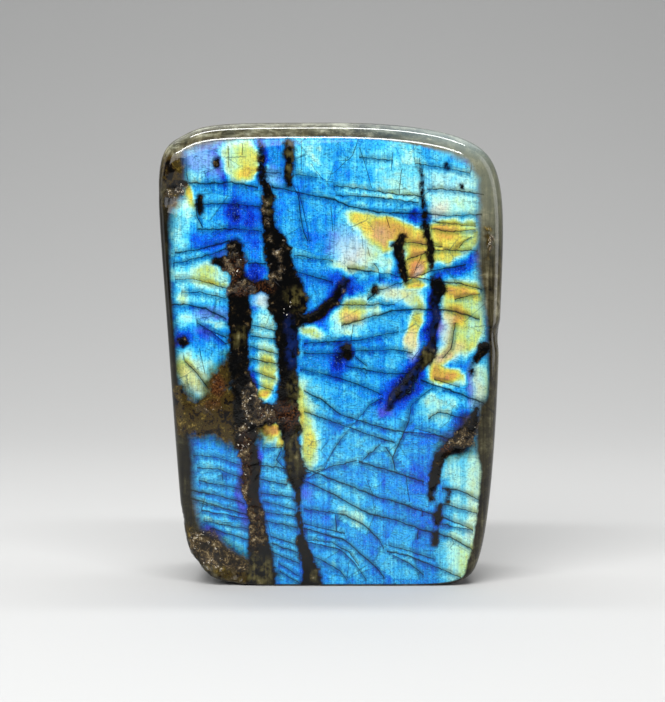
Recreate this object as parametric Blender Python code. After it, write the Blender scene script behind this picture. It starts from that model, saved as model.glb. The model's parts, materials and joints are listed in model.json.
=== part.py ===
# A polished freeform slab of labradorite that stands on its sawn foot, as one closed solid.
# Origin at the middle of the foot, +Z up, the flashing face towards -Y. Lengths in millimetres
# are multiplied by MM, because Blender works in metres.

import math

import bmesh
import bpy
import numpy as np
from mathutils import Vector

MM = 0.001
NAME = "labradorite_slab"

# Outline of the slab, counter-clockwise as seen from the front. Each point has x, z, the heading
# of the line in degrees and the length of its handles before and after it.
FOOT_LEFT = (-35.8, 6.3, 309, 4, 4)
FOOT_RIGHT = (37.5, 4.0, 58, 4, 4)
SHOULDER_RIGHT = (41.1, 111.3, 127, 9, 9)
SHOULDER_LEFT = (-39.9, 115.9, 209, 8, 8)
SIDES = (
    (FOOT_LEFT, (-16, 0, 0, 15, 10), (20, 0, 0, 10, 10), FOOT_RIGHT),
    (FOOT_RIGHT, (43.8, 60, 88, 40, 30), SHOULDER_RIGHT),
    (SHOULDER_RIGHT, (0, 120, 180, 17, 33), SHOULDER_LEFT),
    (SHOULDER_LEFT, (-42, 60, 274, 43, 51), FOOT_LEFT),
)
HEIGHT = 120
MIDDLE_HEIGHT = HEIGHT / 2

# Depth: the front leans back a little, the back leans forward more, and both faces are dished out.
FRONT_AT_FOOT = -20
BACK_AT_FOOT = 20
FRONT_LEAN = 0.03
BACK_LEAN = -0.07
BULGE = 1.6
BULGE_HALF_WIDTH = 45

# Radius of the ground rim at the top, right, foot and left, and the share of it that is left
# at the height of the foot. The sides and the top draw in by these shares towards the back.
FRONT_RIM = (7.0, 7.5, 2.0, 4.5)
BACK_RIM = (5.0, 5.0, 2.0, 5.0)
RIM_AT_FOOT = 0.5
DRAW_IN = (0.07, 0.035)

# Hollows where the stone chipped or was left unpolished: middle x, y, z, radius and depth.
HOLLOWS = (
    (-40.5, -15, 101.7, 6.0, 1.3),
    (-33.0, -19, 9.5, 9.0, 1.8),
    (-25.0, -20, 4.5, 6.0, 1.2),
    (-37.5, -13, 17.0, 6.0, 1.0),
    (42.5, -12, 64.5, 5.0, 0.8),
    (14.0, 18, 38.0, 13.0, 1.2),
)

# Grid of the solid: divisions across each face, divisions of the depth, the part of a face's
# half grid that is left when the rim has taken its share, the angle whose sine crowds the grid
# towards the corners, and the steps along each curve of the outline.
DIVISIONS = 32
DEPTH_DIVISIONS = 8
FACE_SHARE = 0.75
CROWDING = 1.25
CURVE_STEPS = 48

STONE_COLOUR = (0.10, 0.30, 0.55, 1)
STONE_ROUGHNESS = 0.12


def clear_scene():
    for thing in list(bpy.data.objects):
        bpy.data.objects.remove(thing)


def way(degrees):
    return np.array([math.cos(math.radians(degrees)), math.sin(math.radians(degrees))])


def side_line(points):
    """One side as Bezier curves: the points, their headings and the distance to each, 0 to 1."""
    places = []
    headings = []
    t = np.linspace(0, 1, CURVE_STEPS, endpoint=False)[:, None]
    for start, end in zip(points, points[1:]):
        first = np.array(start[:2])
        last = np.array(end[:2])
        after_first = first + way(start[2]) * start[4]
        before_last = last - way(end[2]) * end[3]
        if end is points[-1]:
            t = np.linspace(0, 1, CURVE_STEPS)[:, None]
        s = 1 - t
        places.append(s**3 * first + 3 * s * s * t * after_first + 3 * s * t * t * before_last + t**3 * last)
        slope = s * s * (after_first - first) + 2 * s * t * (before_last - after_first)
        headings.append(slope + t * t * (last - before_last))
    places = np.concatenate(places)
    headings = np.concatenate(headings)
    travel = np.concatenate([[0], np.cumsum(np.hypot(*np.diff(places, axis=0).T))])
    return travel / travel[-1], places, headings / np.linalg.norm(headings, axis=1)[:, None]


def outline_at(lines, side, share):
    """A point of the outline and its outward normal, at a share of the way along one side."""
    travel, places, headings = lines[side]
    here = [np.interp(share, travel, places[:, axis]) for axis in (0, 1)]
    heading = [np.interp(share, travel, headings[:, axis]) for axis in (0, 1)]
    return np.array(here), np.array([heading[1], -heading[0]]) / math.hypot(*heading)


def rim_width(widths, edge, normal):
    """Blend of the rim's widths at the top, right, foot and left, narrower near the foot."""
    weights = (max(normal[1], 0), max(normal[0], 0), max(-normal[1], 0), max(-normal[0], 0))
    full = sum(width * weight**2 for width, weight in zip(widths, weights))
    return full * (RIM_AT_FOOT + (1 - RIM_AT_FOOT) * edge[1] / HEIGHT)


def bulge(x, z):
    """How far a face falls back from its highest point, which is in its middle."""
    return BULGE * ((x / BULGE_HALF_WIDTH) ** 2 + ((z - MIDDLE_HEIGHT) / MIDDLE_HEIGHT) ** 2) / 2


def front(x, z):
    return FRONT_AT_FOOT + FRONT_LEAN * z + bulge(x, z)


def back(x, z):
    return BACK_AT_FOOT + BACK_LEAN * z - bulge(x, z)


def ring_place(u, w):
    """Side of the square ring that holds (u, w), and the share of the way along that side."""
    ring = max(abs(u), abs(w), 1e-9)
    if abs(w) >= abs(u):
        side, along = (0, u) if w < 0 else (2, -u)
    else:
        side, along = (1, w) if u > 0 else (3, -w)
    crowded = math.sin(CROWDING * along / ring) / math.sin(CROWDING)
    return side, (1 + crowded) / 2


def shape(lines, u, v, w):
    """Place on the stone, in millimetres, of a point on the surface of the cube from -1 to 1."""
    edge, normal = outline_at(lines, *ring_place(u, w))
    front_rim = rim_width(FRONT_RIM, edge, normal)
    back_rim = rim_width(BACK_RIM, edge, normal)
    depth = (v + 1) / 2
    edge = edge * (1 - np.array(DRAW_IN) * depth**2)
    if abs(v) < 0.999:
        x, z = edge
        start = front(x, z) + front_rim
        end = back(x, z) - back_rim
        return x, start + (end - start) * depth, z
    rim = front_rim if v < 0 else back_rim
    ring = max(abs(u), abs(w))
    turn = min((1 - ring) / (1 - FACE_SHARE), 1) * math.pi / 2
    place = edge - normal * rim * (1 - math.cos(turn))
    if ring < FACE_SHARE:
        middle = np.array([0, MIDDLE_HEIGHT])
        place = middle + (place - middle) * ring / FACE_SHARE
    x, z = place
    sink = rim * (1 - math.sin(turn))
    return x, front(x, z) + sink if v < 0 else back(x, z) - sink, z


def hollow_depth(place):
    """How far the surface is sunk at a place by the hollows around it."""
    depth = 0
    for x, y, z, radius, deepest in HOLLOWS:
        away = (Vector(place) - Vector((x, y, z))).length / radius
        if away < 1:
            depth += deepest * (1 - away**2) ** 2
    return depth


def divided_cube():
    """A cube from -1 to 1 with its faces divided into a grid."""
    cube = bmesh.new()
    bmesh.ops.create_cube(cube, size=2)
    for axis, divisions in enumerate((DIVISIONS, DEPTH_DIVISIONS, DIVISIONS)):
        along = [e for e in cube.edges if abs(e.verts[0].co[axis] - e.verts[1].co[axis]) > 1]
        bmesh.ops.subdivide_edges(cube, edges=along, cuts=divisions - 1, use_grid_fill=True)
    return cube


def stone_material():
    material = bpy.data.materials.new("stone")
    material.use_nodes = True
    shader = material.node_tree.nodes["Principled BSDF"]
    shader.inputs["Base Color"].default_value = STONE_COLOUR
    shader.inputs["Roughness"].default_value = STONE_ROUGHNESS
    return material


def slab():
    """The whole stone as one mesh object."""
    lines = [side_line(points) for points in SIDES]
    stone = divided_cube()
    for vertex in stone.verts:
        vertex.co = shape(lines, *vertex.co)
    stone.normal_update()
    sunk = {vertex: vertex.co - vertex.normal * hollow_depth(vertex.co) for vertex in stone.verts}
    for vertex, place in sunk.items():
        vertex.co = place
        vertex.co.z = max(place.z, 0)
    middle = [(max(v.co[i] for v in stone.verts) + min(v.co[i] for v in stone.verts)) / 2 for i in (0, 1)]
    for vertex in stone.verts:
        vertex.co = (vertex.co - Vector((middle[0], middle[1], 0))) * MM
    bmesh.ops.recalc_face_normals(stone, faces=stone.faces)
    mesh = bpy.data.meshes.new(NAME)
    stone.to_mesh(mesh)
    stone.free()
    mesh.shade_smooth()
    mesh.materials.append(stone_material())
    return bpy.data.objects.new(NAME, mesh)


def main():
    clear_scene()
    group = bpy.data.collections.new("labradorite")
    bpy.context.scene.collection.children.link(group)
    group.objects.link(slab())


main()
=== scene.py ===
# %% [markdown]
# # A polished labradorite freeform
# Labradorite is a dark feldspar that flashes blue and gold where thin layers inside it reflect
# the light. A freeform is a slab of it that is ground smooth all round, with soft rims, and sawn
# flat underneath so that it stands by itself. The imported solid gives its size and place. This
# file makes the fine surface and the colours.

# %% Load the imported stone
import json
import math
from functools import partialmethod, reduce

import bpy
import numpy as np
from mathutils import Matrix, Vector, noise

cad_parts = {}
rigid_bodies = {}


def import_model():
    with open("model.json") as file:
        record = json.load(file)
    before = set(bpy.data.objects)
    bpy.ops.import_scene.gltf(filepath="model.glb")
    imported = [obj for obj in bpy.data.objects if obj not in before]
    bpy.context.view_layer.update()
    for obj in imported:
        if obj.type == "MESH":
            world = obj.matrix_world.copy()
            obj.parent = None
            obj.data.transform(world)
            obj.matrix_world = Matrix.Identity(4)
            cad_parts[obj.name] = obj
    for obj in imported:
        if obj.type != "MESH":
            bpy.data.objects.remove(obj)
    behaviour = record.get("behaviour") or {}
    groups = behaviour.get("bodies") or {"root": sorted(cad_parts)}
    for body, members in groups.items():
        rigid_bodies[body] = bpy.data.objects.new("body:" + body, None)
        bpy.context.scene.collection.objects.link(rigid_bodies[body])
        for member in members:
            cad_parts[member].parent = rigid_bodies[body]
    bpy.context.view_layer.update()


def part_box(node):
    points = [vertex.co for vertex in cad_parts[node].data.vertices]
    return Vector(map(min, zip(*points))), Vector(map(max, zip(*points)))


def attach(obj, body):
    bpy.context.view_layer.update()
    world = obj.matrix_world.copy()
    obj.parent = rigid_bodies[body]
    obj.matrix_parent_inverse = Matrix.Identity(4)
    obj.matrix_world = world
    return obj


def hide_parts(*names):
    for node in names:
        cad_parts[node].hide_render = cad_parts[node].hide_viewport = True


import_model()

NODE = "labradorite_slab"
MM = 0.001
TINY = 1e-6
low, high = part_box(NODE)
print("packed stone, mm:", [round((b - a) / MM, 1) for a, b in zip(low, high)])

# %% [markdown]
# ## Formulas as nodes
# Both the shape and the finish are rules, such as "the rim is wide where the edge faces up".
# Written node by node, such a rule is hard to read. A small class lets Python's own arithmetic
# add the Math nodes, so that a rule reads as a formula in Geometry Nodes and in a material.


# %% A term of a formula
class Term:
    """A value in a node tree. Arithmetic on it adds Math nodes to the tree."""

    def __init__(self, tree, socket):
        self.tree = tree
        self.socket = socket

    def math(self, operation, *others):
        node = self.tree.nodes.new("ShaderNodeMath")
        node.operation = operation
        for value, socket in zip((self, *others), node.inputs):
            plug(value, socket)
        return Term(self.tree, node.outputs[0])

    def __rsub__(self, other):
        return self * -1 + other

    def swing(self, reach):
        """A noise from 0 to 1 made to swing about zero, by about half the reach each way."""
        return (self - 0.5) * reach

    def step(self, start, end):
        """0 up to start, 1 from end, and a smooth change between them. End may be the lower."""
        node = self.tree.nodes.new("ShaderNodeMapRange")
        node.interpolation_type = "SMOOTHSTEP"
        plug(self, node.inputs["Value"])
        plug(start, node.inputs["From Min"])
        plug(end, node.inputs["From Max"])
        return Term(self.tree, node.outputs[0])


SIGNS = {
    "__add__": "ADD",
    "__radd__": "ADD",
    "__sub__": "SUBTRACT",
    "__mul__": "MULTIPLY",
    "__rmul__": "MULTIPLY",
    "__truediv__": "DIVIDE",
    "__pow__": "POWER",
    "most": "MAXIMUM",
    "least": "MINIMUM",
    "size": "ABSOLUTE",
    "sign": "SIGN",
    "sine": "SINE",
    "cosine": "COSINE",
    "above": "GREATER_THAN",
}
for method, operation in SIGNS.items():
    setattr(Term, method, partialmethod(Term.math, operation))


def plug(value, socket):
    """Link a term to a socket, or set the socket to a plain value."""
    if isinstance(value, Term):
        value.tree.links.new(value.socket, socket)
    else:
        socket.default_value = value


def add_node(tree, kind, output=0, inputs=None, **settings):
    """Add a node, fill in its named inputs and settings, and return one output as a term."""
    node = tree.nodes.new(kind)
    for name, value in settings.items():
        setattr(node, name, value)
    for name, value in (inputs or {}).items():
        plug(value, node.inputs[name])
    return Term(tree, node.outputs[output])


def parts(vector):
    """The X, Y and Z of a vector term."""
    node = vector.tree.nodes.new("ShaderNodeSeparateXYZ")
    plug(vector, node.inputs[0])
    return [Term(vector.tree, socket) for socket in node.outputs]


def join(tree, x, y, z):
    return add_node(tree, "ShaderNodeCombineXYZ", inputs={"X": x, "Y": y, "Z": z})


def between(start, end, share):
    return (end - start) * share + start


print(len(SIGNS), "signs and functions can be used on a term")

# %% [markdown]
# ## The outline
# Seen from the front the stone is a soft-cornered block: narrower at the foot, higher on the
# left shoulder than on the right. Four Bezier lines that meet in the corners hold it with nine
# points. Each point has x, z, the heading of the line in degrees and its two handle lengths, in
# millimetres, counter-clockwise.

# %% Draw the outline
FOOT_LEFT = (-35.8, 6.3, 309, 4, 4)
FOOT_RIGHT = (37.5, 4.0, 58, 4, 4)
SHOULDER_RIGHT = (41.1, 111.3, 127, 9, 9)
SHOULDER_LEFT = (-39.9, 115.9, 209, 8, 8)
SIDES = (
    (FOOT_LEFT, (-16, 0, 0, 15, 10), (20, 0, 0, 10, 10), FOOT_RIGHT),
    (FOOT_RIGHT, (43.8, 60, 88, 40, 30), SHOULDER_RIGHT),
    (SHOULDER_RIGHT, (0, 120, 180, 17, 33), SHOULDER_LEFT),
    (SHOULDER_LEFT, (-42, 60, 274, 43, 51), FOOT_LEFT),
)
CURVE_STEPS = 48


def draw_outline():
    curve = bpy.data.curves.new("outline", "CURVE")
    curve.dimensions = "3D"
    curve.resolution_u = CURVE_STEPS
    for points in SIDES:
        spline = curve.splines.new("BEZIER")
        spline.bezier_points.add(len(points) - 1)
        for knot, (x, z, heading, before, after) in zip(spline.bezier_points, points):
            way = Vector((math.cos(math.radians(heading)), 0, math.sin(math.radians(heading))))
            knot.co = (x, 0, z)
            knot.handle_left_type = knot.handle_right_type = "FREE"
            knot.handle_left = knot.co - way * before
            knot.handle_right = knot.co + way * after
    drawing = bpy.data.objects.new("outline", curve)
    bpy.context.scene.collection.objects.link(drawing)
    return drawing


outline = draw_outline()
print("outline lines:", len(outline.data.splines))

# %% [markdown]
# ## The ground shape
# A lapidary grinds the slab's faces nearly flat and rolls its rims over on the wheel. The shape
# therefore follows a rule, and Geometry Nodes make it: the grid of a cube is wrapped on to the
# outline ring by ring. The outer quarter of each face's grid becomes the quarter round of the
# rim, and the rest becomes the gently crowned face. Sculpting would give a shape that
# nobody could resize.

# %% Sizes of the slab
SIZES = {
    "Height": 120.0,
    "Front at foot": -20.0,
    "Back at foot": 20.0,
    "Front lean": 0.03,
    "Back lean": -0.07,
    "Bulge": 1.6,
    "Bulge half width": 45.0,
    "Front rim top": 7.0,
    "Front rim right": 7.5,
    "Front rim foot": 2.0,
    "Front rim left": 4.5,
    "Back rim top": 5.0,
    "Back rim right": 5.0,
    "Back rim foot": 2.0,
    "Back rim left": 5.0,
    "Rim at foot": 0.5,
    "Draw in across": 0.07,
    "Draw in down": 0.035,
    "Face share": 0.75,
    "Crowding": 1.25,
}
FACE_DIVISIONS = 168
DEPTH_DIVISIONS = 32


# %% Build the tree
def read_sizes(tree):
    """Add the tree's named inputs and return the sizes among them as terms."""
    sockets = tree.interface
    sockets.new_socket("Outline", in_out="INPUT", socket_type="NodeSocketGeometry")
    for name, value in SIZES.items():
        sockets.new_socket(name, in_out="INPUT", socket_type="NodeSocketFloat").default_value = value
    for name in ("Face divisions", "Depth divisions"):
        sockets.new_socket(name, in_out="INPUT", socket_type="NodeSocketInt")
    sockets.new_socket("Stone", in_out="INPUT", socket_type="NodeSocketMaterial")
    sockets.new_socket("Slab", in_out="OUTPUT", socket_type="NodeSocketGeometry")
    source = tree.nodes.new("NodeGroupInput")
    return {socket.name: Term(tree, socket) for socket in source.outputs if socket.name}


def place_on_ring(u, w, crowding):
    """Side of the outline that a point of the grid belongs to, and the share of the way along."""
    ring = u.size().most(w.size())
    on_top_or_foot = (w.size() - u.size()).above(-TINY)
    side = between(2 - u.sign(), w.sign() + 1, on_top_or_foot)
    along = between(u.sign() * w, w.sign() * u * -1, on_top_or_foot) / ring.most(TINY)
    share = (along * crowding).sine() / crowding.sine() * 0.5 + 0.5
    return ring, side, share


def rim_width(size, face, across, up, height):
    """The rim's width where the edge faces across and up, blended from its four widths."""
    facing = {"top": up, "right": across, "foot": up * -1, "left": across * -1}
    width = sum(way.most(0) ** 2 * size[f"{face} rim {name}"] for name, way in facing.items())
    return width * between(size["Rim at foot"], 1, height / size["Height"])


def slab_tree():
    tree = bpy.data.node_groups.new("ground slab", "GeometryNodeTree")
    size = read_sizes(tree)
    counts = {f"Vertices {axis}": size["Face divisions"] + 1 for axis in "XZ"}
    counts["Vertices Y"] = size["Depth divisions"] + 1
    grid = add_node(tree, "GeometryNodeMeshCube", inputs={"Size": (2, 2, 2), **counts})
    u, v, w = parts(add_node(tree, "GeometryNodeInputPosition"))
    ring, side, share = place_on_ring(u, w, size["Crowding"])
    sample = tree.nodes.new("GeometryNodeSampleCurve")
    sample.mode = "FACTOR"
    plug(size["Outline"], sample.inputs["Curves"])
    plug(share, sample.inputs["Factor"])
    plug(side, sample.inputs["Curve Index"])
    edge_x, _, edge_z = parts(Term(tree, sample.outputs["Position"]))
    heading_x, _, heading_z = parts(Term(tree, sample.outputs["Tangent"]))
    across, up = heading_z, heading_x * -1
    rims = [rim_width(size, face, across, up, edge_z) for face in ("Front", "Back")]
    depth = v * 0.5 + 0.5
    edge_x = edge_x * (1 - size["Draw in across"] * depth**2)
    edge_z = edge_z * (1 - size["Draw in down"] * depth**2)
    turn = ((1 - ring) / (1 - size["Face share"])).least(1) * (math.pi / 2)
    inset = between(*rims, v.above(0)) * (1 - turn.cosine())
    shrink = (ring / size["Face share"]).least(1)
    middle = size["Height"] / 2
    x = (edge_x - across * inset) * shrink
    z = (edge_z - up * inset - middle) * shrink + middle
    fall = ((x / size["Bulge half width"]) ** 2 + ((z - middle) / middle) ** 2) * size["Bulge"] / 2
    sink = 1 - turn.sine()
    front = size["Front at foot"] + size["Front lean"] * z + fall + rims[0] * sink
    back = size["Back at foot"] + size["Back lean"] * z - fall - rims[1] * sink
    place = join(tree, x * MM, between(front, back, depth) * MM, z * MM)
    shaped = add_node(tree, "GeometryNodeSetPosition", inputs={"Geometry": grid, "Position": place})
    smooth = add_node(tree, "GeometryNodeSetShadeSmooth", inputs={"Geometry": shaped})
    real = add_node(tree, "GeometryNodeRealizeInstances", inputs={"Geometry": smooth})
    coated = {"Geometry": real, "Material": size["Stone"]}
    finished = add_node(tree, "GeometryNodeSetMaterial", inputs=coated)
    plug(finished, tree.nodes.new("NodeGroupOutput").inputs[0])
    return tree


tree = slab_tree()
print("nodes in the ground shape:", len(tree.nodes))


# %% Grind the slab
def grind(drawing, tree, material):
    """Run the tree on the outline and return the result as a plain mesh object."""
    modifier = drawing.modifiers.new("grind", "NODES")
    modifier.node_group = tree
    divisions = {"Face divisions": FACE_DIVISIONS, "Depth divisions": DEPTH_DIVISIONS}
    values = {**SIZES, **divisions, "Stone": material}
    for item in tree.interface.items_tree:
        if item.in_out == "INPUT" and item.name in values:
            modifier[item.identifier] = values[item.name]
    evaluated = drawing.evaluated_get(bpy.context.evaluated_depsgraph_get())
    mesh = bpy.data.meshes.new_from_object(evaluated)
    bpy.data.objects.remove(drawing)
    slab = bpy.data.objects.new("labradorite", mesh)
    bpy.context.scene.collection.objects.link(slab)
    return slab


stone_material = bpy.data.materials.new("labradorite")
stone = grind(outline, tree, stone_material)
print("triangles:", sum(len(face.vertices) - 2 for face in stone.data.polygons))

# %% [markdown]
# ## Where the markings lie
# The front was drawn from a photograph, so its markings are noted in the photograph's pixels, as
# named strokes and patches. One function turns a pixel into millimetres on the stone. A
# stroke is a line with a half width at each point. Seen from the top, the dark seams are sheets
# that cut through the slab, so each is carried through to the back with a slight slant. The
# small spots are pits in the face, and end behind it.

# %% From pixels to millimetres
PIXELS_PER_MM = 459.3 / 120
MIDDLE_COLUMN = 330.5
FOOT_ROW = 582.3
SEAM_SLANT = 0.3
# The vector noise takes its seed from the clock unless it is given one.
NOISE_SEED = 10
noise.seed_set(NOISE_SEED)


def spot(column, row):
    return np.array([(column - MIDDLE_COLUMN) / PIXELS_PER_MM, (FOOT_ROW - row) / PIXELS_PER_MM])


def vectors(items, name):
    """One vector of each item of a mesh, as an array with a row for each."""
    values = np.empty(len(items) * 3, dtype=np.float32)
    items.foreach_get(name, values)
    return values.reshape(-1, 3).astype(float)


places = vectors(stone.data.vertices, "co") / MM
normals = vectors(stone.data.vertex_normals, "vector")
face_front = SIZES["Front at foot"] + SIZES["Front lean"] * places[:, 2]
behind = (places[:, 1] - face_front).clip(0)
slanted = np.stack([places[:, 0] + SEAM_SLANT * behind, places[:, 2]], axis=1)

# Each wave has its length and reach in millimetres and its own layer of the noise.
SEAM_WAVES = ((4, 0.7, 1), (1.3, 0.45, 6))
PATCH_WAVES = ((8, 1.7, 3), (2.6, 1.0, 8))


def wavy(points, waves):
    """The same points moved about by noise, so that no stroke or patch has an even edge."""
    for length, reach, layer in waves:
        moves = [noise.noise_vector(Vector((x / length, layer, z / length))) for x, z in points]
        points = points + np.array([(move.x, move.z) for move in moves]) * reach
    return points


jagged = wavy(slanted, SEAM_WAVES)
print("vertices:", len(places))

# %% Measure strokes
FAR_OFF = 1000


def measure(start, end, points):
    """Share of the way along a line, and distance from it, for each point."""
    way = end - start
    along = ((points - start) @ way / (way @ way)).clip(0, 1)
    return along, np.linalg.norm(points - start - along[:, None] * way, axis=1)


def stroke_depth(stroke, points):
    """How deep each point lies inside a stroke, in millimetres, negative outside it."""
    deepest = np.full(len(points), -FAR_OFF, dtype=float)
    for (*first, half), (*last, next_half) in zip(stroke, stroke[1:]):
        along, away = measure(spot(*first), spot(*last), points)
        deepest = np.maximum(deepest, (half + (next_half - half) * along) / PIXELS_PER_MM - away)
    return deepest


def depth_in_any(strokes, points):
    return np.max([stroke_depth(stroke, points) for stroke in strokes.values()], axis=0)


# Each point of a stroke has its column, row and half width.
SEAMS = {
    "middle seam": (
        (261, 142, 0.8), (263, 157, 1.2), (263, 173, 2.2), (266, 187, 4), (269, 200, 6), (269, 214, 5.5),
        (270, 227, 6), (275, 241, 9), (279, 252, 12), (281, 263, 12.5), (283, 276, 13), (286, 288, 17),
        (288, 300, 19), (288, 312, 14), (286, 324, 10), (287, 340, 9.5), (288, 360, 9), (289, 378, 9),
        (289, 395, 10), (288, 411, 12), (291, 430, 8.5), (293, 450, 8.5), (296, 471, 9), (298, 482, 4),
        (299, 490, 2), (299, 515, 2.2), (301, 530, 3), (304, 545, 5), (309, 560, 7), (312, 572, 9),
        (312, 590, 10),
    ),
    "left lobe": ((219, 260, 5), (228, 262, 8), (238, 262, 9)),
    "left head": ((236, 245, 6), (237, 254, 8), (239, 275, 7), (242, 288, 10)),
    "left seam": (
        (242, 288, 10), (240, 305, 10), (241, 320, 10.5), (240, 350, 9.5), (240, 365, 10),
        (243, 380, 11), (248, 395, 11), (248, 410, 13), (246, 425, 10), (247, 440, 9), (250, 455, 8.5),
        (252, 485, 8), (254, 498, 6.5), (258, 512, 8), (260, 530, 9), (260, 542, 10), (262, 552, 11),
        (262, 568, 14), (262, 590, 16),
    ),
    "upper bridge": ((240, 286, 7), (262, 285, 6), (285, 290, 10)),
    "bridge": ((248, 404, 13), (264, 411, 10), (282, 411, 10)),
    "brown thread": ((290, 143, 3), (289.5, 155, 4.5), (290, 168, 5), (289, 178, 4.2), (290, 184, 2.5)),
    "right thread": (
        (420, 167, 0.7), (421, 184, 1.2), (422, 204, 1.6), (424, 219, 2.2), (427, 236, 2.4),
        (430, 258, 2.2), (431, 267, 1),
    ),
    "slit": (
        (401, 236, 2.4), (398, 246, 4.4), (397, 254, 4.4), (400, 262, 4.4), (402, 272, 3.8), (404, 281, 2),
    ),
    "slit side": ((391, 245, 1.5), (397, 247, 3)),
    "middle vein": (
        (345, 279, 1.6), (341, 287, 3.5), (337, 292, 3), (333, 299, 5), (326, 307, 3.5), (320, 312, 4.5),
        (300, 319, 5),
    ),
    "vein knot": ((436, 282, 6), (437, 290, 8), (432, 300, 5)),
    "vein": (
        (433, 300, 4), (434, 312, 2.4), (433, 330, 2.0), (430, 343, 3.5), (426, 352, 6.5),
        (416, 367, 3.6), (404, 383, 3.2), (393, 396, 3.4), (388, 404, 2),
    ),
    "right seam": (
        (475, 406, 2), (472, 420, 4), (466, 430, 8), (458, 440, 9), (447, 447, 6), (438, 452, 5),
        (434, 465, 5), (434, 478, 5), (429, 488, 2.5), (430, 496, 1.5),
    ),
}
SPOTS = {
    "centre spot": ((345, 346, 3.4), (347, 352, 4.6)),
    "edge bits": ((484, 345, 6), (479, 351, 4), (474, 359, 3)),
    "edge dot": ((471, 368, 1.6), (471, 371, 1.4)),
    "low bit": ((447, 488, 2.2), (446, 498, 1.8)),
    "lower bit": ((440, 503, 1.6), (437, 512, 3.4), (437, 519, 3)),
    "lowest bit": ((435, 529, 2.2), (435, 540, 1.2)),
    "eye": ((203, 197, 2.6), (203, 206, 3.4), (203, 212, 2)),
    "left spot": ((184, 338, 3.2), (186, 341, 2.5)),
    "upper left dark": ((169, 187, 1.5), (176, 185, 3), (186, 183, 4)),
    "under the chip": ((176, 197, 2.5), (170, 201, 4)),
    "thread spot": ((292, 164, 2.5), (293, 168, 2)),
    "small dot": ((220, 160, 1.6), (220, 167, 2.4)),
    "top dot": ((446, 166, 2.4), (448, 168, 2)),
    "side dot": ((459, 187, 1.4), (460, 189, 1.6)),
    "crack knot": ((375, 284, 1.2), (374, 291, 2.2)),
}
# A spot is a pit near the face, so it fades behind its reach. Both are in millimetres.
SPOT_REACH = 4
SPOT_FADE = 0.4
spots = depth_in_any(SPOTS, jagged) - SPOT_FADE * (behind - SPOT_REACH).clip(0)
seam = np.maximum(depth_in_any(SEAMS, jagged), spots)
print("share of the surface in seams:", round(float((seam > 0).mean()), 3))

# %% [markdown]
# Around the seams lies olive and rust-brown feldspar that doesn't flash. It is softer in
# outline than the seams, so it is noted in the same way and blended more widely.

# %% Olive and brown ground
OLIVE = {
    "left field": ((178, 392, 10), (190, 415, 17), (208, 414, 19), (226, 408, 24), (240, 420, 24)),
    "field arm": ((216, 384, 9), (226, 372, 9), (235, 361, 8)),
    "corner": ((188, 528, 6), (205, 545, 15), (232, 562, 14), (255, 572, 16)),
    "upper left": ((168, 160, 8), (176, 172, 9), (172, 205, 5)),
    "right rim": ((485, 228, 1.5), (488, 240, 2.5), (489, 256, 1.5)),
    "right knot": ((470, 420, 6), (462, 438, 9), (446, 447, 6)),
}
olive = depth_in_any(OLIVE, jagged)
print("share of the surface in olive ground:", round(float((olive > 0).mean()), 3))

# %% [markdown]
# ## The flash
# The colour of the flash depends on one thing, the thickness of the layers inside the stone:
# thin ones flash violet and blue, thicker ones green, gold and orange. So one number, the
# order of the colour, is enough for the whole front, and neighbouring colours pass into each
# other in the right sequence as they do in the real stone. Patches of that number are
# laid over a blue ground. A painted picture would repeat the photograph, and change nothing
# when the light does.

# %% Patches of colour order
NAVY = 0.08
ROYAL = 0.24
AZURE = 0.42
SKY = 0.50
CYAN = 0.58
AQUA = 0.66
LIME = 0.74
YELLOW = 0.82
GOLD = 0.89
ORANGE = 0.97

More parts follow.
